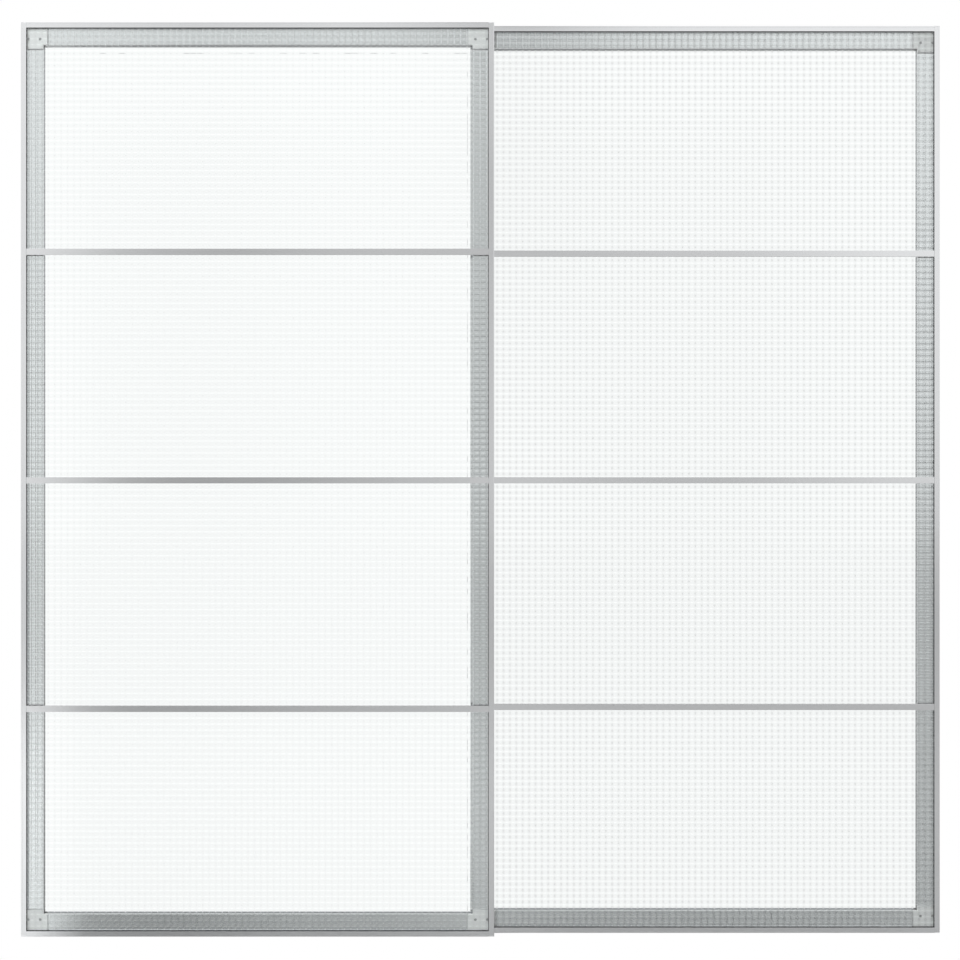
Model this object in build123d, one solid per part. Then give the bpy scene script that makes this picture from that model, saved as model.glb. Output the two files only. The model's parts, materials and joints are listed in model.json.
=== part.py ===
from build123d import *
import os

# A pair of sliding doors, each an aluminium frame round four panes of patterned glass,
# with the rails that carry and guide them. Millimetres. X runs along the rails, the front
# faces -Y and Z is up. The origin is at the bottom centre of the whole set, doors closed.

# Overall sizes
set_width = 2000.0  # closed pair, from outer edge to outer edge
door_width = 1026.0
door_height = 1982.0
door_depth = 34.0
door_pitch = 40.0  # front of one door to front of the next
carcass_gap = 6.0  # back of the rear door to the front of what the rails are fixed to

# Frame profile, one extrusion used on all four sides of a door
lip_width = 11.7
lip_thickness = 1.5
wall = 1.5
band_width = 47.0  # from the door's edge to the inner side of the box behind the glass
band_front = 16.0  # from the front of the lip to the front of that box
chamber_width = 10.0  # the hollow between the outer wall and the box
edge_radius = 1.2
lip_groove_at = 3.4
lip_groove_width = 1.0
lip_groove_depth = 0.5
side_groove_back = 6.0  # from the box's front to the groove in its inner side
side_groove_width = 9.0
side_groove_depth = 3.0
joint_gap = 0.1  # between a coped end and the stile it meets
cap_thickness = 1.6
cap_plug_length = 8.0
cap_plug_gap = 0.2

# Glazing
glass_thickness = 4.0
seal_thickness = 0.8
seal_gap = 0.05  # on each side of a seal's leg
seal_show = 1.3  # how far the back leg stands past the lip
seal_tuck = 1.2  # how far the front leg stays behind the lip's edge
edge_cover = 0.2  # between a pane's edge and the seal or strip beside it

# Strips between the panes
pane_count = 4
strip_height = 13.6
strip_flange = 1.3
strip_web = 1.6
strip_gap = 0.2
strip_drop = 2.0  # the strips sit this far under equal spacing
strip_radius = 0.4

# Corner blocks
block_reach = 56.5  # from the door's edge to the end of each arm
block_gap = 0.2
block_wall = 2.4
block_radius = 1.5
tongue_length = 24.0
screw_side_gap = 0.4  # between a screw's shank and the chamber wall beside it
screw_row = 35.5  # from the door's end
block_screw_radius = 1.6
block_screw_head = 3.0
block_head_height = 2.0
screw_gap = 0.05
boss_radius = 4.2
screw_bite = 6.0

# Hangers, one near each top corner of a door
plate = 2.5
plate_width = 60.0
plate_bend = 2.0
plate_corner = 5.0
hanger_inset = 100.0  # from the door's side edge to the middle of the hanger
hanger_drop = 44.0  # leg on the back of the door, below the door's top
shelf_rise = 2.5  # top of the rear door's hangers above the door's top
shelf_gap = 1.5  # front door's hangers over the rear door's hangers
leg_below = 9.0  # end of the rear leg below the axle
leg_screw_radius = 2.0
leg_screw_head = 4.0
leg_head_height = 1.6
leg_screw_length = 7.0
leg_screw_spread = 36.0
leg_row_gap = 4.0  # between a leg screw and the walls of the box it enters

# Wheels, one in each hanger, grooved to ride on a round-topped track
wheel_radius = 10.5
tread_radius = 8.5
wheel_width = 9.0
wheel_clear = 0.8
wheel_chamfer = 0.6
hub_radius = 5.0
hub_relief = 0.8
rim_inner = 7.2
axle_radius = 3.0
axle_fit = 0.05
axle_shoulder = 4.6
axle_collar = 1.5
axle_side_gap = 0.2
axle_head = 2.0

# Top rail
bead_radius = 2.5
bead_gap = 0.3  # between a track's round top and the groove of a wheel
rail_length = 1990.0
rail_base = 2.5
track_height = 5.0
front_track = 12.0  # centre of each track, from the rail's front edge
rear_track = 40.0
rail_depth = 52.0
rail_hole_radius = 2.6
rail_hole_row = 26.0  # from the rail's front edge
outer_hole_x = 850.0
inner_hole_x = 290.0

# End stops on the top rail
stop_length = 24.0
stop_width = 8.0
stop_height = 20.0
stop_gap = 0.5
buffer_radius = 4.0
buffer_length = 7.0
buffer_seat = 3.0
buffer_height = 14.0
stop_screw_radius = 2.0
stop_screw_head = 3.5
stop_head_height = 2.0
stop_screw_tip = 0.5  # from the end of the screw to the underside of the rail

# Guides at the bottom of the doors and the channel they run in
guide_plate = 2.5
guide_width = 44.0
guide_inset = 80.0
guide_leg = 38.0
guide_screw_up = 28.0
guide_screw_spread = 26.0
pass_gap = 1.5  # front door's guide arm under the rear door's guide arm
under_gap = 3.5  # front door's guide arm under the rear door
arm_margin = 1.0
groove_width = 10.0
groove_wall = 2.0
guide_top = 2.0
guide_flange = 16.0
guide_rail_foot = 9.0  # underside of the channel's fins, above the lowest point
guide_rail_height = 17.0
guide_hole_radius = 2.6
pin_gap = 0.5  # on each side, between a pin and the walls of its groove
pin_top_gap = 2.0
pin_chamfer = 0.8
pin_stem = 2.0

# Places worked out from the sizes above
half_width = door_width / 2
half_height = door_height / 2
web_outer = wall + chamber_width
web_inner = web_outer + wall
glass_front = lip_thickness + seal_thickness + 2 * seal_gap
glass_back = glass_front + glass_thickness
rib_front = glass_back + seal_thickness + 2 * seal_gap
rib_back = rib_front + wall
groove_front = band_front + side_groove_back
groove_rear = groove_front + side_groove_width
flange_front = door_depth - wall
seal_base = wall + block_gap
pane_inset = seal_base + seal_thickness + edge_cover
block_edge = cap_thickness + block_gap
block_seat = block_reach + block_gap
set_depth = door_pitch + door_depth + carcass_gap + rail_depth
front_face = -set_depth / 2
rail_front = front_face + door_pitch + door_depth + carcass_gap
door_bottom = guide_plate + under_gap
door_middle = door_bottom + half_height
door_top = door_bottom + door_height
rear_shelf = half_height + shelf_rise - plate
front_shelf = half_height + shelf_rise + shelf_gap
screw_near = web_inner + block_screw_radius + screw_side_gap
screw_far = band_width - side_groove_depth - wall - block_screw_radius - screw_side_gap
leg_row_near = web_inner + leg_screw_radius + leg_row_gap
leg_row_far = band_width - side_groove_depth - wall - leg_screw_radius - leg_row_gap
leg_screw_rows = (leg_row_far, leg_row_near)
wheel_axis = rear_shelf - wheel_clear - wheel_radius
bead_top = door_middle + wheel_axis - tread_radius - bead_gap
rail_bottom = bead_top - track_height - rail_base
rail_floor = rail_bottom + rail_base
front_track_y = rail_front + front_track
rear_track_y = rail_front + rear_track
leg_from_track = wheel_width / 2 + axle_side_gap + axle_collar
front_groove_y = rail_front + groove_wall + groove_width / 2
rear_groove_y = front_groove_y + groove_width + groove_wall
front_arm = -half_height - door_bottom
rear_arm = front_arm + guide_plate + pass_gap
pin_radius = groove_width / 2 - pin_gap
pin_top = guide_rail_foot + guide_rail_height - guide_top - pin_top_gap - door_middle
hanger_x = half_width - hanger_inset
guide_x = half_width - guide_inset
stop_face = set_width / 2 - hanger_inset + plate_width / 2 + stop_gap


# A box between two corners
def slab(x0, x1, y0, y1, z0, z1):
    middle = Pos((x0 + x1) / 2, (y0 + y1) / 2, (z0 + z1) / 2)
    return middle * Box(abs(x1 - x0), abs(y1 - y0), abs(z1 - z0))


# Round bars along each axis, between two places on it
def bar_x(radius, y, z, x0, x1):
    return Pos((x0 + x1) / 2, y, z) * Rot(0, 90, 0) * Cylinder(radius, abs(x1 - x0))


def bar_y(radius, x, z, y0, y1):
    return Pos(x, (y0 + y1) / 2, z) * Rot(90, 0, 0) * Cylinder(radius, abs(y1 - y0))


def bar_z(radius, x, y, z0, z1):
    return Pos(x, y, (z0 + z1) / 2) * Cylinder(radius, abs(z1 - z0))


def outline(points):
    return make_face(Polyline(*points, close=True))


# The same outline with the named corners rounded
def rounded(face, corners, radius):
    near = 0.01
    picked = []
    for v in face.vertices():
        if any(abs(v.X - a) < near and abs(v.Y - b) < near for a, b in corners):
            picked.append(v)
    return fillet(picked, radius)


def group(solids):
    return Compound(children=list(solids))


# Frame profile: X from the door's edge inwards, Y back from the front of the lip
def profile_outline():
    face = outline(
        [
            (0, 0),
            (lip_width, 0),
            (lip_width, lip_thickness),
            (wall, lip_thickness),
            (wall, rib_front),
            (web_inner, rib_front),
            (web_inner, band_front),
            (band_width, band_front),
            (band_width, groove_front),
            (band_width - side_groove_depth, groove_front),
            (band_width - side_groove_depth, groove_rear),
            (band_width, groove_rear),
            (band_width, door_depth),
            (0, door_depth),
        ]
    )
    soft = [(0, 0), (0, door_depth), (band_width, door_depth), (band_width, band_front)]
    return rounded(face, soft, edge_radius)


# The hollow box behind the glass, drawn in by a gap when something plugs into it
def box_chamber(gap=0.0):
    inner = band_width - wall - gap
    step = band_width - side_groove_depth - wall - gap
    return outline(
        [
            (web_inner + gap, band_front + wall + gap),
            (inner, band_front + wall + gap),
            (inner, groove_front - wall - gap),
            (step, groove_front - wall - gap),
            (step, flange_front - gap),
            (web_inner + gap, flange_front - gap),
        ]
    )


def profile_section():
    outer_chamber = outline(
        [
            (wall, rib_back),
            (web_outer, rib_back),
            (web_outer, flange_front),
            (wall, flange_front),
        ]
    )
    groove_middle = lip_groove_at + lip_groove_width / 2
    lip_groove = Pos(groove_middle, 0) * Rectangle(lip_groove_width, 2 * lip_groove_depth)
    return profile_outline() - lip_groove - outer_chamber - box_chamber()


# A stile runs the full height between its end caps, with its rib cut back for the blocks
def left_stile():
    bar = extrude(profile_section(), half_height - cap_thickness, both=True)
    hole = block_screw_radius + screw_gap
    for side in (-1, 1):
        seat = side * (half_height - block_seat)
        row = side * (half_height - screw_row)
        bar -= slab(wall, web_inner, rib_front, band_front, seat, side * half_height)
        for x in (screw_near, screw_far):
            bar -= bar_y(hole, x, row, band_front - wall, band_front + 2 * wall)
    return Pos(-half_width, 0, 0) * bar


# A cross profile is coped at both ends to fit round the stiles, and drilled at the back
# for the plates screwed to it. It is drawn upright, then laid along the top of the door.
def top_profile(plate_x, spread, rows):
    bar = extrude(profile_section(), half_width - wall - joint_gap, both=True)
    lip_end = half_width - lip_width - joint_gap
    box_end = half_width - band_width - joint_gap
    seat = half_width - block_seat
    past = band_width + wall
    for side in (-1, 1):
        end = side * half_width
        bar -= slab(-wall, past, -wall, lip_thickness, side * lip_end, end)
        bar -= slab(-wall, past, rib_front, door_depth + wall, side * box_end, end)
        bar -= slab(wall, web_inner, rib_front, band_front, side * seat, end)
    hole = leg_screw_radius + screw_gap
    for x, row in screw_places(plate_x, spread, rows):
        bar -= bar_y(hole, row, x, flange_front - wall, door_depth + wall)
    return Pos(0, 0, half_height) * Rot(0, 90, 0) * bar


# Where the screws of the two plates near a door's corners go: along it, and in from its end
def screw_places(plate_x, spread, rows):
    places = []
    for middle in (-plate_x, plate_x):
        for x in (middle - spread / 2, middle + spread / 2):
            places += [(x, row) for row in rows]
    return places


# Plug-in caps close the ends of the stiles
def stile_cap():
    plate_part = extrude(profile_outline(), cap_thickness)
    outer_plug = outline(
        [
            (wall + cap_plug_gap, band_front + cap_plug_gap),
            (web_outer - cap_plug_gap, band_front + cap_plug_gap),
            (web_outer - cap_plug_gap, flange_front - cap_plug_gap),
            (wall + cap_plug_gap, flange_front - cap_plug_gap),
        ]
    )
    plugs = extrude(outer_plug, -cap_plug_length)
    plugs += extrude(box_chamber(cap_plug_gap), -cap_plug_length)
    top = half_height - cap_thickness
    return Pos(-half_width, 0, top) * (plate_part + plugs)


def stile_caps():
    cap = stile_cap()
    pair = [cap, mirror(cap, about=Plane.YZ)]
    return group(pair + [mirror(c, about=Plane.XY) for c in pair])


# Middle heights of the strips, from the top of the door down
def strip_heights():
    step = door_height / pane_count
    return [half_height - k * step - strip_drop for k in range(1, pane_count)]


# An H-shaped strip: its flanges hold the panes above and below it, and its web runs on
# between the legs of the side seals
def strip(z):
    front = glass_front - strip_gap
    back = glass_back + strip_gap
    half = strip_height / 2
    lip_end = half_width - lip_width - strip_gap
    rib_end = half_width - web_inner - strip_gap
    web_end = half_width - pane_inset
    face = Rectangle(strip_flange, strip_height)
    edges = [(-strip_flange / 2, -half), (-strip_flange / 2, half)]
    front_flange = Plane.YZ * rounded(face, edges, strip_radius)
    bar = Pos(0, front - strip_flange / 2, 0) * extrude(front_flange, lip_end, both=True)
    bar += slab(-rib_end, rib_end, back, back + strip_flange, -half, half)
    bar += slab(-rib_end, rib_end, front, back, -strip_web / 2, strip_web / 2)
    bar += slab(
        -web_end, web_end, glass_front, glass_back, -strip_web / 2, strip_web / 2
    )
    return Pos(0, 0, z) * bar


# Panes from the top down, each between the edges of two strips or of the frame
def panes():
    side = half_width - pane_inset
    clear = strip_web / 2 + edge_cover
    middles = strip_heights()
    tops = [half_height - pane_inset] + [z - clear for z in middles]
    bottoms = [z + clear for z in middles] + [pane_inset - half_height]
    return [
        slab(-side, side, glass_front, glass_back, bottom, top)
        for top, bottom in zip(tops, bottoms)
    ]


# U-shaped seals round the outside of the glass
def seals():
    base_end = seal_base + seal_thickness
    front = lip_thickness + seal_gap
    back = rib_front - seal_gap
    section = outline(
        [
            (seal_base, front),
            (lip_width - seal_tuck, front),
            (lip_width - seal_tuck, front + seal_thickness),
            (base_end, front + seal_thickness),
            (base_end, back - seal_thickness),
            (lip_width + seal_show, back - seal_thickness),
            (lip_width + seal_show, back),
            (seal_base, back),
        ]
    )
    upright = extrude(section, half_height - seal_base, both=True)
    left = Pos(-half_width, 0, 0) * upright
    reach = half_width - lip_width - seal_show - joint_gap
    lying = extrude(section, reach, both=True)
    top = Pos(0, 0, half_height) * Rot(0, 90, 0) * lying
    return group([left, Rot(0, 180, 0) * left, top, Rot(0, 180, 0) * top])


# A moulded block in the top left corner. It seats on both boxes behind the glass and keys
# into both profiles with a tongue. Two screws through it hold it to the stile.
def corner_block():
    a, b, c = block_edge, band_width, block_reach
    shape = outline([(a, -a), (c, -a), (c, -b), (b, -b), (b, -c), (a, -c)])
    shape = rounded(shape, [(a, -a), (c, -a), (c, -b), (b, -c), (a, -c)], block_radius)
    holes = [(screw_near, -screw_row), (screw_far, -screw_row)]
    hollow = offset(shape, -block_wall)
    for x, z in holes:
        hollow -= Pos(x, z) * Circle(boss_radius)
    depth = band_front - rib_front
    front_plane = Plane.XZ.offset(-rib_front)
    body = extrude(front_plane * shape, -depth)
    body -= extrude(Plane.XZ.offset(-rib_front - block_wall) * hollow, -depth)
    low, high = block_edge, web_outer - block_gap
    near = rib_back + block_gap
    end = block_reach + tongue_length
    body += slab(c, end, near, band_front, -high, -low)
    body += slab(low, high, near, band_front, -end, -c)
    sunk = rib_front + block_head_height + 2 * screw_gap
    for x, z in holes:
        body -= bar_y(block_screw_radius + screw_gap, x, z, rib_front, door_depth)
        body -= bar_y(block_screw_head + screw_gap, x, z, rib_front - wall, sunk)
    return Pos(-half_width, 0, half_height) * body


def corner_screws():
    under_head = rib_front + 2 * screw_gap + block_head_height
    end = band_front + wall + screw_bite
    screws = []
    for x in (screw_near, screw_far):
        body = bar_y(
            block_screw_head, x, -screw_row, under_head - block_head_height, under_head
        )
        body += bar_y(block_screw_radius, x, -screw_row, under_head, end)
        body = Pos(-half_width, 0, half_height) * body
        screws += [body, mirror(body, about=Plane.YZ)]
    return group(screws + [mirror(s, about=Plane.XY) for s in screws])


# A hanger is one folded plate: screwed to the back of the door, over, and down to the axle
def hanger(shelf, track_y):
    y0, y1 = door_depth, door_depth + plate
    ya = track_y + leg_from_track
    yb = ya + plate
    end = wheel_axis - leg_below
    face = outline(
        [
            (y0, half_height - hanger_drop),
            (y0, shelf + plate),
            (yb, shelf + plate),
            (yb, end),
            (ya, end),
            (ya, shelf),
            (y1, shelf),
            (y1, half_height - hanger_drop),
        ]
    )
    face = rounded(face, [(y0, shelf + plate), (yb, shelf + plate)], plate_bend + plate)
    face = rounded(face, [(ya, shelf), (y1, shelf)], plate_bend)
    body = extrude(Plane.YZ * face, plate_width / 2, both=True)
    corners = [e for e in body.edges().filter_by(Axis.Y) if e.center().Z < shelf - plate]
    body = fillet(corners, plate_corner)
    body -= bar_y(axle_radius + axle_fit, 0, wheel_axis, ya - wall, yb + wall)
    hole = leg_screw_radius + screw_gap
    for x in (-leg_screw_spread / 2, leg_screw_spread / 2):
        for row in leg_screw_rows:
            body -= bar_y(hole, x, half_height - row, y0 - wall, y1 + wall)
    return body


# The axle is riveted through the rear leg, with a collar and a head to keep the wheel
def axle(track_y):
    leg = track_y + leg_from_track
    face = track_y - wheel_width / 2 - axle_side_gap
    body = bar_y(axle_radius, 0, wheel_axis, face - axle_head, leg + plate)
    body += bar_y(axle_shoulder, 0, wheel_axis, leg - axle_collar, leg)
    body += bar_y(axle_shoulder, 0, wheel_axis, face - axle_head, face)
    body += bar_y(axle_shoulder, 0, wheel_axis, leg + plate, leg + plate + axle_collar / 2)
    return body


# A wheel with a round groove that matches the top of the track
def wheel(track_y):
    groove_radius = bead_radius + bead_gap
    disc = Cylinder(wheel_radius, wheel_width)
    disc = chamfer(disc.edges(), wheel_chamfer)
    disc -= Torus(tread_radius + groove_radius, groove_radius)
    ring = Cylinder(rim_inner, hub_relief) - Cylinder(hub_radius, hub_relief)
    for side in (-1, 1):
        disc -= Pos(0, 0, side * (wheel_width - hub_relief) / 2) * ring
    disc -= Cylinder(axle_radius + axle_fit, wheel_width)
    return Pos(0, track_y, wheel_axis) * Rot(90, 0, 0) * disc


# Screws through a plate on the back of the door; depth is the plate's own thickness
def plate_screws(places, edge, depth):
    head_from = door_depth + depth
    screws = []
    for x, row in places:
        z = edge - row if edge > 0 else edge + row
        body = bar_y(leg_screw_head, x, z, head_from, head_from + leg_head_height)
        body += bar_y(leg_screw_radius, x, z, head_from - leg_screw_length, head_from)
        screws.append(body)
    return group(screws)


# A guide is a folded plate too: screwed to the back of the door, with an arm that runs
# back under the channel
def guide(arm, groove_y):
    y0, y1 = door_depth, door_depth + guide_plate
    end = groove_y + pin_radius + arm_margin
    top = guide_leg - half_height
    face = outline(
        [
            (y0, top),
            (y0, arm),
            (end, arm),
            (end, arm + guide_plate),
            (y1, arm + guide_plate),
            (y1, top),
        ]
    )
    face = rounded(face, [(y0, arm)], plate_bend + guide_plate)
    face = rounded(face, [(y1, arm + guide_plate)], plate_bend)
    body = extrude(Plane.YZ * face, guide_width / 2, both=True)
    body -= bar_z(pin_stem + screw_gap, 0, groove_y, arm - wall, arm + guide_plate + wall)
    hole = leg_screw_radius + screw_gap
    for x in (-guide_screw_spread / 2, guide_screw_spread / 2):
        body -= bar_y(hole, x, guide_screw_up - half_height, y0 - wall, y1 + wall)
    return body


def guide_pin(arm, groove_y):
    foot = arm + guide_plate
    body = bar_z(pin_radius, 0, groove_y, foot, pin_top)
    body = chamfer(body.edges().group_by(Axis.Z)[-1], pin_chamfer)
    return body + bar_z(pin_stem, 0, groove_y, arm, foot)


# Top rail: a base plate with two round-topped tracks
def top_rail():
    middle = rail_depth / 2
    section = Pos(middle, rail_base / 2) * Rectangle(rail_depth, rail_base)
    stem = track_height - bead_radius
    for y in (front_track, rear_track):
        section += Pos(y, rail_base + stem / 2) * Rectangle(2 * bead_radius, stem)
        section += Pos(y, rail_base + stem) * Circle(bead_radius)
    bar = extrude(Plane.YZ * section, rail_length / 2, both=True)
    for x in (outer_hole_x, inner_hole_x):
        for side in (-1, 1):
            bar -= bar_z(rail_hole_radius, side * x, rail_hole_row, -wall, rail_base + wall)
    tip = rail_base - stop_screw_tip
    for x, y in stop_places():
        bar -= bar_z(
            stop_screw_radius + screw_gap, x, y - rail_front, rail_base - tip, rail_base + wall
        )
    return Pos(0, rail_front, rail_bottom) * bar


# Middle of each end stop's screw, two on each track
def stop_places():
    x = stop_face + buffer_length - buffer_seat + stop_length / 2
    leg_middle = leg_from_track + plate / 2
    rows = (front_track_y + leg_middle, rear_track_y + leg_middle)
    return [(side * x, y) for y in rows for side in (-1, 1)]


def track_stop(x, y):
    top = rail_floor + stop_height
    half_length, half_stop = stop_length / 2, stop_width / 2
    body = slab(x - half_length, x + half_length, y - half_stop, y + half_stop, rail_floor, top)
    body -= bar_z(stop_screw_radius + screw_gap, x, y, rail_floor - wall, top + wall)
    return body - stop_buffer(x, y)


def stop_buffer(x, y):
    side = 1 if x > 0 else -1
    start = side * stop_face
    z = rail_floor + buffer_height
    return bar_x(buffer_radius, y, z, start, start + side * buffer_length)


def stop_screw(x, y):
    top = rail_floor + stop_height
    body = bar_z(stop_screw_radius, x, y, rail_bottom + stop_screw_tip, top)
    return body + bar_z(stop_screw_head, x, y, top, top + stop_head_height)


# Guide channel: a top plate with three fins that make two grooves, open downwards
def guide_rail():
    fins = 3 * groove_wall + 2 * groove_width
    depth = fins + guide_flange
    top = guide_rail_height - guide_top / 2
    section = Pos(depth / 2, top) * Rectangle(depth, guide_top)
    for k in range(3):
        y = groove_wall / 2 + k * (groove_width + groove_wall)
        section += Pos(y, guide_rail_height / 2) * Rectangle(groove_wall, guide_rail_height)
    bar = extrude(Plane.YZ * section, rail_length / 2, both=True)
    row = fins + guide_flange / 2
    for x in (outer_hole_x, inner_hole_x):
        for side in (-1, 1):
            bar -= bar_z(
                guide_hole_radius, side * x, row, guide_top, guide_rail_height + wall
            )
    return Pos(0, rail_front, guide_rail_foot) * bar


# One door in its own frame: X and Z from its middle, Y back from the front of its lip
def door(shelf, track_y, arm, groove_y):
    stile = left_stile()
    cross = top_profile(hanger_x, leg_screw_spread, leg_screw_rows)
    foot = top_profile(guide_x, guide_screw_spread, [guide_screw_up])
    corner = corner_block()
    corner_right = mirror(corner, about=Plane.YZ)
    parts = {
        "left_stile": stile,
        "right_stile": Rot(0, 180, 0) * stile,
        "top_profile": cross,
        "bottom_profile": Rot(0, 180, 0) * foot,
        "stile_caps": stile_caps(),
        "seals": seals(),
        "corner_top_left": corner,
        "corner_top_right": corner_right,
        "corner_bottom_left": mirror(corner, about=Plane.XY),
        "corner_bottom_right": mirror(corner_right, about=Plane.XY),
        "corner_screws": corner_screws(),
    }
    for k, pane in enumerate(panes()):
        parts[f"glass_{k + 1}"] = pane
    for k, z in enumerate(strip_heights()):
        parts[f"strip_{k + 1}"] = strip(z)
    folded, axle_bar, roller = hanger(shelf, track_y), axle(track_y), wheel(track_y)
    guide_bar, pin = guide(arm, groove_y), guide_pin(arm, groove_y)
    for name, side in (("left", -1), ("right", 1)):
        parts[f"hanger_{name}"] = Pos(side * hanger_x, 0, 0) * folded
        parts[f"wheel_{name}"] = Pos(side * hanger_x, 0, 0) * roller
        parts[f"guide_{name}"] = Pos(side * guide_x, 0, 0) * guide_bar
    parts["axles"] = group([Pos(x, 0, 0) * axle_bar for x in (-hanger_x, hanger_x)])
    parts["guide_pins"] = group([Pos(x, 0, 0) * pin for x in (-guide_x, guide_x)])
    hung = screw_places(hanger_x, leg_screw_spread, leg_screw_rows)
    guided = screw_places(guide_x, guide_screw_spread, [guide_screw_up])
    tops = plate_screws(hung, half_height, plate)
    feet = plate_screws(guided, -half_height, guide_plate)
    parts["plate_screws"] = group(list(tops.solids()) + list(feet.solids()))
    return parts


def build():
    front_y, rear_y = front_face, front_face + door_pitch
    front_x = half_width - set_width / 2
    doors = {
        "front_door": (
            Pos(front_x, front_y, door_middle),
            door(front_shelf, rear_track_y - front_y, front_arm, rear_groove_y - front_y),
        ),
        "rear_door": (
            Pos(-front_x, rear_y, door_middle),
            door(rear_shelf, front_track_y - rear_y, rear_arm, front_groove_y - rear_y),
        ),
    }
    nodes = {}
    for name, (place, parts) in doors.items():
        for part, solid in parts.items():
            nodes[f"{name}_{part}"] = place * solid
    nodes["top_rail"] = top_rail()
    nodes["guide_rail"] = guide_rail()
    nodes["track_stops"] = group([track_stop(x, y) for x, y in stop_places()])
    nodes["stop_buffers"] = group([stop_buffer(x, y) for x, y in stop_places()])
    nodes["stop_screws"] = group([stop_screw(x, y) for x, y in stop_places()])
    return nodes


os.makedirs("parts", exist_ok=True)
for node, solid in build().items():
    export_step(solid, f"parts/{node}.step")
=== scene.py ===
import json
import math

import bpy
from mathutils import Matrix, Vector


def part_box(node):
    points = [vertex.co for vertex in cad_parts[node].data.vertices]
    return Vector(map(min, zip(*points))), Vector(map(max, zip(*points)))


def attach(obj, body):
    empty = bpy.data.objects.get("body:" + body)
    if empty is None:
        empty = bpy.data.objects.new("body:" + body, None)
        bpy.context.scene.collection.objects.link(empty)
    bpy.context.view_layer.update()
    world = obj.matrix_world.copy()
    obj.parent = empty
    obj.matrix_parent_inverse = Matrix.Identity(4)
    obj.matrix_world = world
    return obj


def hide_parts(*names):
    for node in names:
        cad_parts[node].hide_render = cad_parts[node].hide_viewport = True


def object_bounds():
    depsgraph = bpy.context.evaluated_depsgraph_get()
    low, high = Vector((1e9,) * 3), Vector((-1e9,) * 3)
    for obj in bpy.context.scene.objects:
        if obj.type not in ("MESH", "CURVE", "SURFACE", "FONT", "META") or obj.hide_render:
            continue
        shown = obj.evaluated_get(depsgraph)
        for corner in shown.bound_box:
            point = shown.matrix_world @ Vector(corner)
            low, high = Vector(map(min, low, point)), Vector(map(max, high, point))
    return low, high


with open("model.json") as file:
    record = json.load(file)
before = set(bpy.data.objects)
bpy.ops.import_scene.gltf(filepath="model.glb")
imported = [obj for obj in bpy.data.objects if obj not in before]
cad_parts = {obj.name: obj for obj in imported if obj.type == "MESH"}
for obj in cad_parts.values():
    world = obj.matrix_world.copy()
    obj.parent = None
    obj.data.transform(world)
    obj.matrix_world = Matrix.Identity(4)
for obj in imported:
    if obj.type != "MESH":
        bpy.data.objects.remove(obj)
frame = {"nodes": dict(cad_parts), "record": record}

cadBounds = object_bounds()
nodes = frame["nodes"]
bodyOf = {name: body for body, members in frame["record"]["behaviour"]["bodies"].items() for name in members}


def addNode(tree, kind, values=None, **settings):
    node = tree.nodes.new(kind)
    for key, value in settings.items():
        setattr(node, key, value)
    for key, value in (values or {}).items():
        node.inputs[key].default_value = value
    return node


def wire(tree, source, target):
    tree.links.new(source, target)


# Fills sockets in turn from other sockets or plain values, and leaves out those given as None
def feed(tree, sockets, values):
    for socket, value in zip(sockets, values):
        if value is None:
            continue
        if hasattr(value, "links"):
            wire(tree, value, socket)
        else:
            socket.default_value = value


# One math node on sockets or numbers
def calc(tree, operation, a, b=None, c=None):
    node = addNode(tree, "ShaderNodeMath", operation=operation)
    feed(tree, node.inputs, (a, b, c))
    return node.outputs[0]


def combine(tree, x, y, z):
    node = addNode(tree, "ShaderNodeCombineXYZ")
    feed(tree, node.inputs, (x, y, z))
    return node.outputs[0]


def split(tree, vector):
    node = addNode(tree, "ShaderNodeSeparateXYZ")
    wire(tree, vector, node.inputs[0])
    return node.outputs


# Goes from start to end as share goes from 0 to 1
def blend(tree, share, start, end):
    return calc(tree, "MULTIPLY_ADD", share, calc(tree, "SUBTRACT", end, start), start)


def clamp(tree, value, low, high):
    return calc(tree, "MINIMUM", calc(tree, "MAXIMUM", value, low), high)


# Goes from 0 to 1 as value goes from start to end
def ramp(tree, value, start, end):
    node = addNode(tree, "ShaderNodeMapRange", {"From Min": start, "From Max": end})
    wire(tree, value, node.inputs["Value"])
    return node.outputs[0]


# A bell curve of height 1 over the sum of some squares
def bellOf(tree, squares):
    return calc(tree, "EXPONENT", calc(tree, "MULTIPLY", squares, -1))


def bell(tree, value, centre, width):
    off = calc(tree, "DIVIDE", calc(tree, "SUBTRACT", value, centre), width)
    return bellOf(tree, calc(tree, "MULTIPLY", off, off))


def noise(tree, vector, scale, detail, roughness=0.5):
    node = addNode(tree, "ShaderNodeTexNoise")
    sockets = [node.inputs[key] for key in ("Vector", "Scale", "Detail", "Roughness")]
    feed(tree, sockets, (vector, scale, detail, roughness))
    return node.outputs[0]


def coordinates(tree):
    return addNode(tree, "ShaderNodeTexCoord").outputs


def scaled(tree, colour, factor):
    node = addNode(tree, "ShaderNodeVectorMath", operation="SCALE")
    wire(tree, colour, node.inputs[0])
    wire(tree, factor, node.inputs["Scale"])
    return node.outputs[0]


def addObject(name, data):
    thing = bpy.data.objects.new(name, data)
    bpy.context.scene.collection.objects.link(thing)
    return thing


# A shader group with its sockets; returns it with its input and output nodes
def effectGroup(name, inputs, outputs):
    group = bpy.data.node_groups.new(name, "ShaderNodeTree")
    for label, kind, value in inputs:
        socket = group.interface.new_socket(label, in_out="INPUT", socket_type=f"NodeSocket{kind}")
        socket.default_value = value
    for label, kind in outputs:
        group.interface.new_socket(label, in_out="OUTPUT", socket_type=f"NodeSocket{kind}")
    return group, addNode(group, "NodeGroupInput"), addNode(group, "NodeGroupOutput")


# Effect shared by the metals: long fine lines and soft patches in Object space
lineLook = {"detail": 4.0, "lineRoughness": 0.6, "patchScale": 6.0, "patchDetail": 2.0, "lineShare": 0.7,
            "depth": 0.0002}


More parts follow.
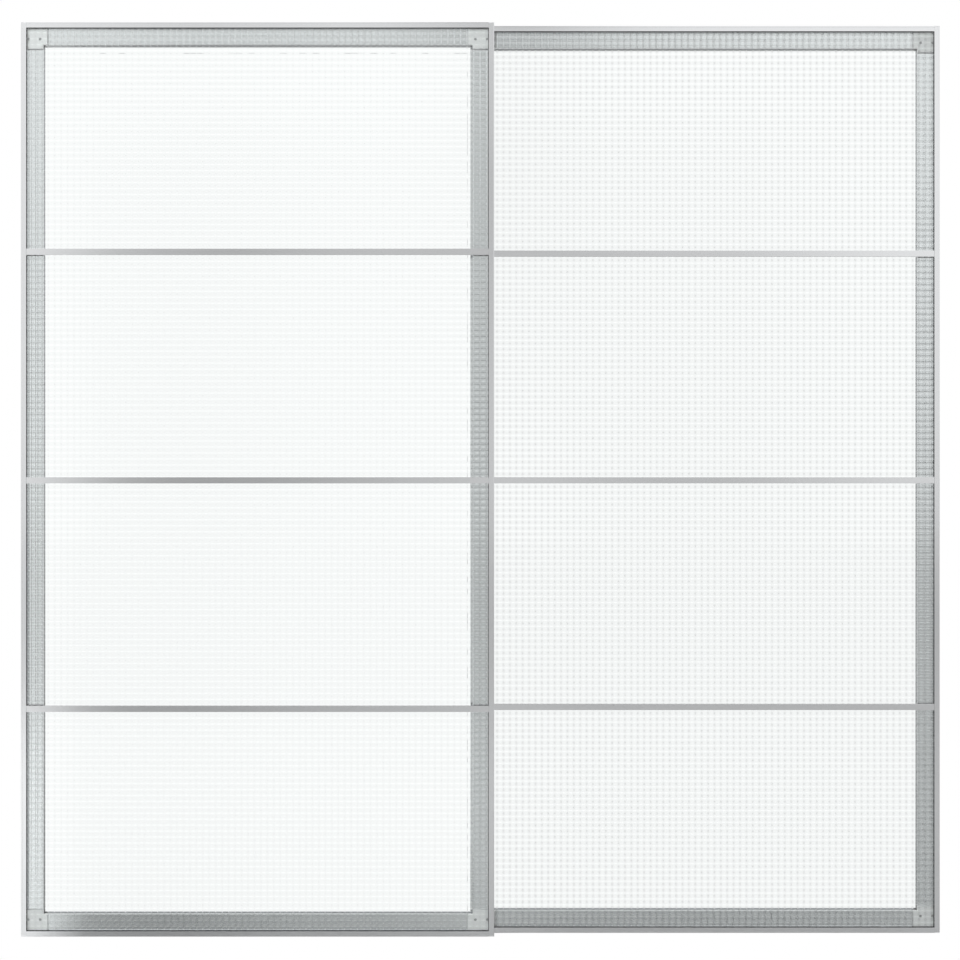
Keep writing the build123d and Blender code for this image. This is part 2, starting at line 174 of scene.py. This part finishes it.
def lineEffect():
    group, into, out = effectGroup("lineEffect", (
        ("Stretch", "Vector", (1, 1, 1)), ("Tone", "Color", (0.8, 0.8, 0.8, 1)), ("Variation", "Float", 0.05),
        ("Base Roughness", "Float", 0.3), ("Roughness Spread", "Float", 0.1)),
        (("Color", "Color"), ("Roughness", "Float"), ("Height", "Float")))
    get, look = into.outputs, lineLook
    spot = coordinates(group)["Object"]
    mapping = addNode(group, "ShaderNodeMapping")
    wire(group, spot, mapping.inputs["Vector"])
    wire(group, get["Stretch"], mapping.inputs["Scale"])
    lines = noise(group, mapping.outputs[0], 1.0, look["detail"], look["lineRoughness"])
    patches = noise(group, spot, look["patchScale"], look["patchDetail"])
    mixed = calc(group, "ADD", calc(group, "MULTIPLY", lines, look["lineShare"]),
                 calc(group, "MULTIPLY", patches, 1 - look["lineShare"]))
    centred = calc(group, "SUBTRACT", mixed, 0.5)
    shade = calc(group, "MULTIPLY_ADD", centred, get["Variation"], 1.0)
    rough = calc(group, "MULTIPLY_ADD", centred, get["Roughness Spread"], get["Base Roughness"])
    wire(group, scaled(group, get["Tone"], shade), out.inputs["Color"])
    wire(group, rough, out.inputs["Roughness"])
    wire(group, lines, out.inputs["Height"])
    return group


# Effect shared by the plastics and rubbers: fine grain with slight patches
grainLook = {"scale": 900.0, "detail": 3.0, "grainRoughness": 0.55, "patchScale": 14.0, "patchDetail": 2.0,
             "spread": 0.2, "depth": 0.0001}


def grainEffect():
    group, into, out = effectGroup("grainEffect", (
        ("Scale", "Float", grainLook["scale"]), ("Tone", "Color", (0.8, 0.8, 0.8, 1)),
        ("Variation", "Float", 0.06), ("Base Roughness", "Float", 0.5)),
        (("Color", "Color"), ("Roughness", "Float"), ("Height", "Float")))
    get, look = into.outputs, grainLook
    spot = coordinates(group)["Object"]
    grain = noise(group, spot, get["Scale"], look["detail"], look["grainRoughness"])
    patches = noise(group, spot, look["patchScale"], look["patchDetail"])
    centred = calc(group, "SUBTRACT", patches, 0.5)
    shade = calc(group, "MULTIPLY_ADD", centred, get["Variation"], 1.0)
    rough = calc(group, "MULTIPLY_ADD", centred, look["spread"], get["Base Roughness"])
    wire(group, scaled(group, get["Tone"], shade), out.inputs["Color"])
    wire(group, rough, out.inputs["Roughness"])
    wire(group, grain, out.inputs["Height"])
    return group


# Effect of the glass: a dark mark at each crossing of its grid, which is painted shade, and a pale dash in
# each cell, which is a painted highlight given out as emission
markLook = {"unevenScale": 0.9, "unevenDetail": 2.0}


# The UV map counts grid cells, so a crossing is at each whole number and a cell's middle at each half
def markEffect():
    group, into, out = effectGroup("markEffect", (
        ("Tone", "Color", (0.95, 0.97, 0.97, 1)), ("Mark Width", "Float", 0.1), ("Mark Length", "Float", 0.2),
        ("Crossing Shade Depth", "Float", 0.1), ("Mark Spread", "Float", 0.5), ("Mark Roughness", "Float", 0.4),
        ("Dash Width", "Float", 0.4), ("Dash Height", "Float", 0.4), ("Highlight Strength", "Float", 0.4)),
        (("Color", "Color"), ("Roughness", "Float"), ("Painted Highlight", "Color")))
    get = into.outputs
    spot = coordinates(group)["UV"]
    parts = split(group, spot)

    def spots(shift, across, upward):
        squares = []
        for axis, size in (("X", across), ("Y", upward)):
            off = calc(group, "PINGPONG", calc(group, "ADD", parts[axis], shift), 0.5)
            share = calc(group, "DIVIDE", off, get[size])
            squares.append(calc(group, "MULTIPLY", share, share))
        return bellOf(group, calc(group, "ADD", *squares))

    # The marks are painted shade where the grooves cross; they also make the glass rougher there
    mark = spots(0.0, "Mark Width", "Mark Length")
    dash = spots(0.5, "Dash Width", "Dash Height")
    uneven = noise(group, spot, markLook["unevenScale"], markLook["unevenDetail"])
    centred = calc(group, "SUBTRACT", uneven, 0.5)
    strength = calc(group, "MULTIPLY_ADD", centred, get["Mark Spread"], get["Crossing Shade Depth"])
    kept = calc(group, "SUBTRACT", 1.0, calc(group, "MULTIPLY", mark, strength))
    wire(group, scaled(group, get["Tone"], kept), out.inputs["Color"])
    wire(group, calc(group, "MULTIPLY", mark, get["Mark Roughness"]), out.inputs["Roughness"])
    # The dashes are a painted highlight, given out as emission by the glass
    paintedHighlight = calc(group, "MULTIPLY", dash, get["Highlight Strength"])
    wire(group, combine(group, paintedHighlight, paintedHighlight, paintedHighlight), out.inputs["Painted Highlight"])
    return group


lineGroup = lineEffect()
grainGroup = grainEffect()
markGroup = markEffect()


def principled(name):
    material = bpy.data.materials.new(name)
    material.use_nodes = True
    return material, material.node_tree, material.node_tree.nodes["Principled BSDF"]


# Places an effect with the values that look has for its inputs, and wires its colour and roughness
def useEffect(tree, shader, group, look):
    effect = addNode(tree, "ShaderNodeGroup", node_tree=group)
    for socket in effect.inputs:
        value = look[socket.name]
        socket.default_value = (*value, 1) if socket.name == "Tone" else value
    wire(tree, effect.outputs["Color"], shader.inputs["Base Color"])
    wire(tree, effect.outputs["Roughness"], shader.inputs["Roughness"])
    return effect.outputs


def relief(tree, shader, height, strength, distance):
    bump = addNode(tree, "ShaderNodeBump", {"Strength": strength, "Distance": distance})
    wire(tree, height, bump.inputs["Height"])
    wire(tree, bump.outputs[0], shader.inputs["Normal"])


# Puts one of two shaders on a material's surface, by a share from 0 to 1
def mixShaders(tree, share, first, second):
    mix = addNode(tree, "ShaderNodeMixShader")
    for source, target in zip((share, first, second), mix.inputs):
        wire(tree, source, target)
    wire(tree, mix.outputs[0], tree.nodes["Material Output"].inputs["Surface"])


# A metal whose lines run along the axis with the smallest stretch
def metal(name, look):
    material, tree, shader = principled(name)
    effect = useEffect(tree, shader, lineGroup, look)
    shader.inputs["Metallic"].default_value = 1.0
    relief(tree, shader, effect["Height"], look["bump"], lineLook["depth"])
    return material


def plastic(name, look):
    material, tree, shader = principled(name)
    effect = useEffect(tree, shader, grainGroup, dict(look, Scale=grainLook["scale"]))
    relief(tree, shader, effect["Height"], look["bump"], grainLook["depth"])
    return material


# Glass that lets lamps through to what is behind it, and that gives out its painted highlight dashes as
# emission
def glass(name, look):
    material, tree, shader = principled(name)
    effect = useEffect(tree, shader, markGroup, look)
    wire(tree, effect["Painted Highlight"], shader.inputs["Emission Color"])
    shader.inputs["Emission Strength"].default_value = 1.0
    shader.inputs["IOR"].default_value = look["ior"]
    shader.inputs["Transmission Weight"].default_value = 1.0
    waves = noise(tree, coordinates(tree)["Object"], look["waveScale"], look["waveDetail"])
    relief(tree, shader, waves, look["waveStrength"], look["waveDepth"])
    clear = addNode(tree, "ShaderNodeBsdfTransparent", {"Color": (*look["shadowTint"], 1)})
    path = addNode(tree, "ShaderNodeLightPath")
    mixShaders(tree, path.outputs["Is Shadow Ray"], shader.outputs[0], clear.outputs[0])
    return material


frameLook = {"Tone": (0.80, 0.81, 0.82), "Variation": 0.10, "Base Roughness": 0.13,
             "Roughness Spread": 0.06, "bump": 0.04}
uprightMetal = metal("anodised upright", dict(frameLook, Stretch=(900, 900, 2)))
crossMetal = metal("anodised cross", dict(frameLook, Stretch=(2, 900, 900)))

railLook = {"Tone": (0.70, 0.71, 0.72), "Variation": 0.22, "Base Roughness": 0.30,
            "Roughness Spread": 0.25, "bump": 0.25, "Stretch": (2, 700, 700)}
railMetal = metal("mill rail", railLook)

steelLook = {"Tone": (0.62, 0.63, 0.65), "Variation": 0.30, "Base Roughness": 0.36,
             "Roughness Spread": 0.3, "bump": 0.2, "Stretch": (60, 60, 60)}
steel = metal("zinc plate", steelLook)

screwLook = {"Tone": (0.48, 0.48, 0.49), "Variation": 0.2, "Base Roughness": 0.35,
             "Roughness Spread": 0.2, "bump": 0.1, "Stretch": (200, 200, 200)}
screwSteel = metal("screw steel", screwLook)

# Mark and dash sizes are shares of a cell; the marks are painted shade and the dashes a painted highlight
glassLook = {"Tone": (0.955, 0.975, 0.97), "shadowTint": (0.93, 0.95, 0.945), "ior": 1.5,
             "waveScale": 60.0, "waveDetail": 2.0, "waveStrength": 0.04, "waveDepth": 0.0004,
             "Mark Width": 0.12, "Mark Length": 0.17, "Crossing Shade Depth": 0.07, "Mark Spread": 0.12,
             "Mark Roughness": 0.3, "Dash Width": 0.30, "Dash Height": 0.09, "Highlight Strength": 0.07}
frontGlass = glass("patterned glass", glassLook)

# The rear door's glass is a little darker, with stronger marks: painted shade on a copy of the front glass
rearShadeLook = {"Tone": (0.93, 0.948, 0.944), "Mark Width": 0.16, "Mark Length": 0.24, "Crossing Shade Depth": 0.20}
rearShadedGlass = glass("patterned glass rear painted darker", dict(glassLook, **rearShadeLook))

cornerLook = {"Tone": (0.92, 0.92, 0.92), "Variation": 0.05, "Base Roughness": 0.45, "bump": 0.1}
cornerPlastic = plastic("corner moulding", cornerLook)

capLook = {"Tone": (0.72, 0.73, 0.74), "Variation": 0.06, "Base Roughness": 0.4, "bump": 0.1}
capPlastic = plastic("cap moulding", capLook)

sealLook = {"Tone": (0.02, 0.02, 0.021), "Variation": 0.3, "Base Roughness": 0.6, "bump": 0.15}
sealRubber = plastic("seal rubber", sealLook)

wheelLook = {"Tone": (0.66, 0.67, 0.68), "Variation": 0.15, "Base Roughness": 0.25,
             "Roughness Spread": 0.2, "bump": 0.1, "Stretch": (300, 2, 300)}
wheelSteel = metal("wheel steel", wheelLook)

pinLook = {"Tone": (0.04, 0.04, 0.04), "Variation": 0.2, "Base Roughness": 0.4, "bump": 0.1}
pinNylon = plastic("pin nylon", pinLook)

stopLook = {"Tone": (0.16, 0.16, 0.17), "Variation": 0.15, "Base Roughness": 0.5, "bump": 0.2}
stopPlastic = plastic("stop moulding", stopLook)

bufferLook = {"Tone": (0.03, 0.03, 0.03), "Variation": 0.3, "Base Roughness": 0.7, "bump": 0.25}
bufferRubber = plastic("buffer rubber", bufferLook)

# A node takes the first finish whose key is in its name
finishes = (
    ("_stile_caps", capPlastic), ("_stile", uprightMetal), ("_profile", crossMetal), ("_strip_", crossMetal),
    ("front_door_glass_", frontGlass), ("_glass_", rearShadedGlass), ("_seals", sealRubber),
    ("corner_screws", screwSteel), ("_corner_", cornerPlastic),
    ("_hanger_", steel), ("guide_pins", pinNylon), ("guide_rail", railMetal), ("_guide_", steel),
    ("plate_screws", screwSteel), ("stop_screws", screwSteel), ("_axles", steel), ("_wheel_", wheelSteel),
    ("top_rail", railMetal), ("track_stops", stopPlastic), ("stop_buffers", bufferRubber),
)


def finishOf(name):
    return next(material for key, material in finishes if key in name)


for name, node in nodes.items():
    node.data.materials.clear()
    node.data.materials.append(finishOf(name))
print("finishes set")


# A geometry tree with named inputs; returns it with its group input and output nodes
def geometryTree(name, inputs):
    tree = bpy.data.node_groups.new(name, "GeometryNodeTree")
    tree.interface.new_socket("Geometry", in_out="INPUT", socket_type="NodeSocketGeometry")
    for label, kind in inputs:
        tree.interface.new_socket(label, in_out="INPUT", socket_type=f"NodeSocket{kind}")
    tree.interface.new_socket("Geometry", in_out="OUTPUT", socket_type="NodeSocketGeometry")
    return tree, addNode(tree, "NodeGroupInput"), addNode(tree, "NodeGroupOutput")


def moved(tree, geometry, offset):
    node = addNode(tree, "GeometryNodeTransform")
    wire(tree, geometry, node.inputs["Geometry"])
    wire(tree, offset, node.inputs["Translation"])
    return node.outputs[0]


# Ends a tree: realize, set material, out
def close(tree, geometry, into, out):
    real = addNode(tree, "GeometryNodeRealizeInstances")
    paint = addNode(tree, "GeometryNodeSetMaterial")
    wire(tree, geometry, real.inputs[0])
    wire(tree, real.outputs[0], paint.inputs["Geometry"])
    wire(tree, into.outputs["Material"], paint.inputs["Material"])
    wire(tree, paint.outputs[0], out.inputs[0])


# Evaluates a tree on some points and returns one plain mesh object in the row frame
def grow(name, tree, values, points=((0, 0, 0),)):
    seed = bpy.data.meshes.new(name + " seed")
    seed.from_pydata([tuple(point) for point in points], [], [])
    carrier = addObject(name + " seed", seed)
    modifier = carrier.modifiers.new("grow", "NODES")
    modifier.node_group = tree
    sockets = [item for item in tree.interface.items_tree if item.in_out == "INPUT"]
    keys = {socket.name: socket.identifier for socket in sockets}
    for label, value in values.items():
        modifier[keys[label]] = value
    graph = bpy.context.evaluated_depsgraph_get()
    mesh = bpy.data.meshes.new_from_object(carrier.evaluated_get(graph), depsgraph=graph)
    mesh.name = name
    carrier.modifiers.remove(modifier)
    bpy.data.objects.remove(carrier)
    return addObject(name, mesh)


def cellCount(tree, span, cell):
    return calc(tree, "MAXIMUM", calc(tree, "ROUND", calc(tree, "DIVIDE", span, cell)), 1)


# Extrudes each chosen face towards -Y and narrows its top; returns the geometry and the tops
def raiseFaces(tree, geometry, chosen, height, factor):
    lift = addNode(tree, "GeometryNodeExtrudeMesh", {"Individual": True}, mode="FACES")
    wire(tree, geometry, lift.inputs["Mesh"])
    wire(tree, chosen, lift.inputs["Selection"])
    wire(tree, combine(tree, 0, -1, 0), lift.inputs["Offset"])
    wire(tree, height, lift.inputs["Offset Scale"])
    narrow = addNode(tree, "GeometryNodeScaleElements", domain="FACE")
    wire(tree, lift.outputs["Mesh"], narrow.inputs["Geometry"])
    wire(tree, lift.outputs["Top"], narrow.inputs["Selection"])
    wire(tree, factor, narrow.inputs["Scale"])
    return narrow.outputs[0], lift.outputs["Top"]


# Stores a UV map that counts the grid cells across and upward
def countCells(tree, geometry, get, across, upward):
    parts = split(tree, addNode(tree, "GeometryNodeInputPosition").outputs[0])
    counts = []
    for axis, span, cells in (("X", "Width", across), ("Z", "Height", upward)):
        share = calc(tree, "ADD", calc(tree, "DIVIDE", parts[axis], get[span]), 0.5)
        counts.append(calc(tree, "MULTIPLY", share, cells))
    grid = addNode(tree, "GeometryNodeStoreNamedAttribute", {"Name": "UVMap"},
                   data_type="FLOAT2", domain="CORNER")
    wire(tree, geometry, grid.inputs["Geometry"])
    wire(tree, combine(tree, *counts, 0), grid.inputs["Value"])
    return grid.outputs[0]


paneLook = {"Cell Width": 0.0140, "Cell Height": 0.0129, "Groove": 0.0004, "Relief": 0.0003,
            "Shoulder": 0.0018, "Unevenness": 0.35}
lowerShare = 0.62  # of the relief, taken by the steeper lower step of a cell's edge


# A pane whose front is moulded into flat-topped cells with narrow grooves between them
def patternedPane():
    tree, into, out = geometryTree("patternedPane", (
        ("Width", "Float"), ("Thickness", "Float"), ("Height", "Float"), ("Centre", "Vector"),
        ("Cell Width", "Float"), ("Cell Height", "Float"), ("Groove", "Float"), ("Relief", "Float"),
        ("Shoulder", "Float"), ("Unevenness", "Float"), ("Seed", "Int"), ("Material", "Material")))
    get = into.outputs
    across = cellCount(tree, get["Width"], get["Cell Width"])
    upward = cellCount(tree, get["Height"], get["Cell Height"])
    slab = addNode(tree, "GeometryNodeMeshCube", {"Vertices Y": 2})
    body = calc(tree, "SUBTRACT", get["Thickness"], get["Relief"])
    wire(tree, combine(tree, get["Width"], body, get["Height"]), slab.inputs["Size"])
    wire(tree, calc(tree, "ADD", across, 1), slab.inputs["Vertices X"])
    wire(tree, calc(tree, "ADD", upward, 1), slab.inputs["Vertices Z"])
    normal = addNode(tree, "GeometryNodeInputNormal")
    facing = addNode(tree, "ShaderNodeVectorMath", {1: (0, -1, 0)}, operation="DOT_PRODUCT")
    wire(tree, normal.outputs[0], facing.inputs[0])
    front = addNode(tree, "FunctionNodeCompare", {1: 0.5}, operation="GREATER_THAN", data_type="FLOAT")
    wire(tree, facing.outputs["Value"], front.inputs[0])
    chance = addNode(tree, "FunctionNodeRandomValue", data_type="FLOAT")
    wire(tree, get["Seed"], chance.inputs["Seed"])
    share = calc(tree, "MULTIPLY_ADD", chance.outputs[1], calc(tree, "MULTIPLY", get["Unevenness"], -1), 1.0)
    grooved = calc(tree, "SUBTRACT", 1, calc(tree, "DIVIDE", get["Groove"], get["Cell Width"]))
    shoulder = calc(tree, "SUBTRACT", 1, calc(tree, "DIVIDE", get["Shoulder"], get["Cell Width"]))
    geometry, chosen = slab.outputs["Mesh"], front.outputs[0]
    for rise, factor in ((0.0, grooved), (lowerShare, shoulder), (1 - lowerShare, shoulder)):
        height = calc(tree, "MULTIPLY", calc(tree, "MULTIPLY", get["Relief"], rise), share)
        geometry, chosen = raiseFaces(tree, geometry, chosen, height, factor)
    counted = countCells(tree, geometry, get, across, upward)
    close(tree, moved(tree, counted, get["Centre"]), into, out)
    return tree


paneTree = patternedPane()
paneNames = [name for name in sorted(nodes) if "_glass_" in name]
for seed, name in enumerate(paneNames, 1):
    low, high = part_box(name)
    thickness = high.y - low.y
    centre = (low + high) / 2
    centre.y = high.y - (thickness - paneLook["Relief"]) / 2
    pane = grow(name + "_pattern", paneTree, dict(
        paneLook, Width=high.x - low.x, Thickness=thickness, Height=high.z - low.z,
        Centre=tuple(centre), Seed=seed, Material=finishOf(name)))
    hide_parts(name)
    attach(pane, bodyOf[name])
print("panes patterned", len(paneNames))


headSides = 40
shankSides = 24
shankDrop = 0.4999  # share of the shank's length; just under half, so that it ends inside the head


# Screws with a cross recess, one at each point, turned by the rotation given
def crossScrews():
    tree, into, out = geometryTree("crossScrews", (
        ("Head Radius", "Float"), ("Head Height", "Float"), ("Dome", "Float"), ("Recess Width", "Float"),
        ("Recess Length", "Float"), ("Recess Depth", "Float"), ("Shank Radius", "Float"),
        ("Shank Length", "Float"), ("Turn", "Vector"), ("Material", "Material")))
    get = into.outputs
    head = addNode(tree, "GeometryNodeMeshCone", {"Vertices": headSides})
    wire(tree, get["Head Radius"], head.inputs["Radius Bottom"])
    wire(tree, calc(tree, "SUBTRACT", get["Head Radius"], get["Dome"]), head.inputs["Radius Top"])
    wire(tree, get["Head Height"], head.inputs["Depth"])
    shank = addNode(tree, "GeometryNodeMeshCylinder", {"Vertices": shankSides})
    wire(tree, get["Shank Radius"], shank.inputs["Radius"])
    wire(tree, get["Shank Length"], shank.inputs["Depth"])
    drop = calc(tree, "MULTIPLY", get["Shank Length"], -shankDrop)
    down = moved(tree, shank.outputs["Mesh"], combine(tree, 0, 0, drop))
    carve = addNode(tree, "GeometryNodeMeshBoolean", operation="DIFFERENCE")
    wire(tree, head.outputs["Mesh"], carve.inputs["Mesh 1"])
    for across, along in (("Recess Width", "Recess Length"), ("Recess Length", "Recess Width")):
        cut = addNode(tree, "GeometryNodeMeshCube")
        wire(tree, combine(tree, get[across], get[along], get["Recess Depth"]), cut.inputs["Size"])
        raised = moved(tree, cut.outputs["Mesh"], combine(tree, 0, 0, get["Head Height"]))
        wire(tree, raised, carve.inputs["Mesh 2"])
    both = addNode(tree, "GeometryNodeJoinGeometry")
    wire(tree, down, both.inputs[0])
    wire(tree, carve.outputs["Mesh"], both.inputs[0])
    place = addNode(tree, "GeometryNodeInstanceOnPoints")
    wire(tree, into.outputs["Geometry"], place.inputs["Points"])
    wire(tree, both.outputs[0], place.inputs["Instance"])
    wire(tree, get["Turn"], place.inputs["Rotation"])
    close(tree, place.outputs[0], into, out)
    return tree


# The low and high corner of each loose part of a mesh
def looseBoxes(mesh):
    parent = list(range(len(mesh.vertices)))

    def root(index):
        while parent[index] != index:
            parent[index] = parent[parent[index]]
            index = parent[index]
        return index

    for edge in mesh.edges:
        first, second = (root(index) for index in edge.vertices)
        parent[first] = second
    parts = {}
    for vertex in mesh.vertices:
        parts.setdefault(root(vertex.index), []).append(vertex.co)
    for points in parts.values():
        columns = list(zip(*points))
        yield [min(column) for column in columns], [max(column) for column in columns]


touch = 1e-5


# The middle of each head's outer face in a CAD group of screws, with that screw's length
def screwHeads(name, axis, outward):
    solids = []
    for low, high in looseBoxes(nodes[name].data):
        for box in solids:
            if all(low[k] <= box[1][k] + touch and high[k] >= box[0][k] - touch for k in range(3)):
                box[0] = [min(pair) for pair in zip(box[0], low)]
                box[1] = [max(pair) for pair in zip(box[1], high)]
                break
        else:
            solids.append([low, high])
    heads = []
    for low, high in solids:
        point = [(start + end) / 2 for start, end in zip(low, high)]
        point[axis] = high[axis] if outward > 0 else low[axis]
        heads.append((tuple(point), high[axis] - low[axis]))
    return heads


screwTree = crossScrews()
screwSets = {
    "corner_screws": {"axis": 1, "outward": -1, "Turn": (math.pi / 2, 0, 0), "Head Radius": 0.0030,
                      "Head Height": 0.0020, "Dome": 0.0006, "Recess Width": 0.0009, "Recess Length": 0.0036,
                      "Recess Depth": 0.0024, "Shank Radius": 0.0016},
    "plate_screws": {"axis": 1, "outward": 1, "Turn": (-math.pi / 2, 0, 0), "Head Radius": 0.0040,
                     "Head Height": 0.0016, "Dome": 0.0010, "Recess Width": 0.0011, "Recess Length": 0.0044,
                     "Recess Depth": 0.0020, "Shank Radius": 0.0020},
    "stop_screws": {"axis": 2, "outward": 1, "Turn": (0, 0, 0), "Head Radius": 0.0035,
                    "Head Height": 0.0020, "Dome": 0.0010, "Recess Width": 0.0011, "Recess Length": 0.0042,
                    "Recess Depth": 0.0024, "Shank Radius": 0.0020},
}
for name in sorted(nodes):
    look = next((values for ending, values in screwSets.items() if name.endswith(ending)), None)
    if look is None:
        continue
    shape = {key: value for key, value in look.items() if key not in ("axis", "outward")}
    byLength = {}
    for point, length in screwHeads(name, look["axis"], look["outward"]):
        byLength.setdefault(round(length, 4), []).append(point)
    for length, points in byLength.items():
        seats = []
        for point in points:
            seat = list(point)
            seat[look["axis"]] -= look["outward"] * look["Head Height"]
            seats.append(seat)
        shape["Shank Length"] = length - look["Head Height"]
        shape["Material"] = screwSteel
        piece = grow(f"{name}_{round(length * 1000)}", screwTree, shape, seats)
        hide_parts(name)
        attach(piece, bodyOf[name])
    print("screws", name, sum(len(points) for points in byLength.values()))


# The studio: white behind the object, and shaded in front, where the frame mirrors it
studioLook = {"level": 0.58, "rise": 0.8, "low": 0.12, "high": 1.0, "nearest": 0.05,
              "topFrom": 0.142, "topTo": 0.178, "topTone": 1.0,
              "rightFrom": 0.12, "rightTo": 0.18, "rightLevel": 0.84, "rightRise": 1.1,
              "centreAt": 0.012, "centreWidth": 0.035, "centreLift": 0.22, "centreFall": -3.2,
              "lowFrom": -0.16, "lowTo": -0.19, "lowLevel": 0.46, "lowSlope": 1.5,
              "gapAt": -0.128, "gapWidth": 0.050, "gapDepth": 0.22,
              "leftFrom": -0.172, "leftTo": -0.198, "leftTone": 1.0,
              "wideFrom": 0.62, "wideTo": 0.84, "wideTone": 0.45,
              "backLevel": 0.50, "backRise": 0.45, "backHigh": 0.85}


# Brighter towards the top, the right and the far left, with a dim gap and a dim foot
def frontTone(tree, aside, up):
    look = studioLook
    base = calc(tree, "MULTIPLY_ADD", up, look["rise"], look["level"])
    base = clamp(tree, base, look["low"], look["high"])
    base = blend(tree, ramp(tree, up, look["topFrom"], look["topTo"]), base, look["topTone"])
    side = calc(tree, "MULTIPLY_ADD", up, look["rightRise"], look["rightLevel"])
    base = blend(tree, ramp(tree, aside, look["rightFrom"], look["rightTo"]), base, side)
    foot = calc(tree, "MULTIPLY_ADD", aside, look["lowSlope"], look["lowLevel"])
    base = blend(tree, ramp(tree, up, look["lowFrom"], look["lowTo"]), base, foot)
    lift = calc(tree, "MULTIPLY_ADD", calc(tree, "MAXIMUM", up, 0), look["centreFall"], look["centreLift"])
    middle = bell(tree, aside, look["centreAt"], look["centreWidth"])
    base = clamp(tree, calc(tree, "MULTIPLY_ADD", middle, lift, base), look["low"], look["high"])
    gap = bell(tree, aside, look["gapAt"], look["gapWidth"])
    base = calc(tree, "SUBTRACT", base, calc(tree, "MULTIPLY", gap, look["gapDepth"]))
    return blend(tree, ramp(tree, aside, look["leftFrom"], look["leftTo"]), base, look["leftTone"])


# White where it shows through the glass; the back of the frame mirrors a dimmer room
def backTone(tree, rays, depth, up):
    look = studioLook
    wide = blend(tree, ramp(tree, depth, look["wideFrom"], look["wideTo"]), look["wideTone"], 1.0)
    back = calc(tree, "MULTIPLY_ADD", up, look["backRise"], look["backLevel"])
    back = clamp(tree, back, look["low"], look["backHigh"])
    return blend(tree, rays["Is Transmission Ray"], back, wide)


def buildWorld():
    world = bpy.data.worlds.new("studio")
    bpy.context.scene.world = world
    world.use_nodes = True
    tree = world.node_tree
    parts = split(tree, coordinates(tree)["Generated"])
    away = calc(tree, "MAXIMUM", calc(tree, "ABSOLUTE", parts["Y"]), studioLook["nearest"])
    aside = calc(tree, "DIVIDE", parts["X"], away)
    up = calc(tree, "DIVIDE", parts["Z"], away)
    rays = addNode(tree, "ShaderNodeLightPath").outputs
    behind = calc(tree, "GREATER_THAN", parts["Y"], 0.0)
    tone = blend(tree, behind, frontTone(tree, aside, up), backTone(tree, rays, parts["Y"], up))
    tone = blend(tree, rays["Is Camera Ray"], tone, 1.0)
    wire(tree, combine(tree, tone, tone, tone), tree.nodes["Background"].inputs["Color"])


# The floor's tone in reflections; centre and gap hold a place, a width and a change
# Places are measured aside of the camera's line, as the door mirrors them
floorLook = {"reach": 4.73, "tone": 0.48, "slope": 0.25, "centre": (0.005, 0.035, 0.08), "lowest": 0.2,
             "gap": (-0.145, 0.045, -0.10), "leftFrom": -0.180, "leftTo": -0.202, "leftTone": 0.92,
             "roughness": 0.9, "halfSpan": 30.0, "backFrom": 0.1}


def buildFloor():
    look = floorLook
    span, level = look["halfSpan"], cadBounds[0][2]
    corners = [(x * span, y * span, level) for x, y in ((-1, -1), (1, -1), (1, 1), (-1, 1))]
    mesh = bpy.data.meshes.new("floor")
    mesh.from_pydata(corners, [], [(0, 1, 2, 3)])
    floor = addObject("floor", mesh)
    material, tree, shader = principled("floor")
    parts = split(tree, coordinates(tree)["Object"])
    away = calc(tree, "ADD", calc(tree, "ABSOLUTE", parts["Y"]), look["reach"])
    aside = calc(tree, "DIVIDE", parts["X"], away)
    tone = calc(tree, "MULTIPLY_ADD", aside, look["slope"], look["tone"])
    for at, width, change in (look["centre"], look["gap"]):
        tone = calc(tree, "MULTIPLY_ADD", bell(tree, aside, at, width), change, tone)
    tone = blend(tree, ramp(tree, aside, look["leftFrom"], look["leftTo"]), tone, look["leftTone"])
    tone = clamp(tree, tone, look["lowest"], look["leftTone"])
    wire(tree, combine(tree, tone, tone, tone), shader.inputs["Base Color"])
    shader.inputs["Roughness"].default_value = look["roughness"]
    white = addNode(tree, "ShaderNodeEmission", {"Color": (1, 1, 1, 1), "Strength": 1.0})
    rays = addNode(tree, "ShaderNodeLightPath").outputs
    behind = calc(tree, "GREATER_THAN", parts["Y"], look["backFrom"])
    through = calc(tree, "MULTIPLY", rays["Is Transmission Ray"], behind)
    seen = calc(tree, "MAXIMUM", rays["Is Camera Ray"], through)
    mixShaders(tree, seen, shader.outputs[0], white.outputs[0])
    mesh.materials.append(material)


lampLook = {"place": (-2.6, -3.4, 3.6), "target": (0, 0, 1.0), "size": 1.8, "power": 80.0}


# A soft lamp that mirrors and glass don't show
def buildLamp():
    light = bpy.data.lights.new("key", "AREA")
    light.energy = lampLook["power"]
    light.size = lampLook["size"]
    lamp = addObject("key", light)
    lamp.location = lampLook["place"]
    lamp.visible_glossy = False
    lamp.visible_transmission = False
    aim = Vector(lampLook["target"]) - Vector(lampLook["place"])
    lamp.rotation_euler = aim.to_track_quat("-Z", "Y").to_euler()


# The camera looks straight along +Y, as in the photo
cameraLook = {"x": -0.0048, "z": 0.9957, "distance": 4.8, "lens": 83.06, "sensor": 36.0, "farthest": 100.0}


def buildCamera():
    data = bpy.data.cameras.new("camera")
    data.lens = cameraLook["lens"]
    data.sensor_width = cameraLook["sensor"]
    data.clip_end = cameraLook["farthest"]
    camera = addObject("camera", data)
    camera.location = (cameraLook["x"], cadBounds[0][1] - cameraLook["distance"], cameraLook["z"])
    camera.rotation_euler = (math.pi / 2, 0, 0)
    bpy.context.scene.camera = camera


buildWorld()
buildFloor()
buildLamp()
buildCamera()
bpy.context.scene.view_settings.view_transform = "Standard"
print("scene lit")
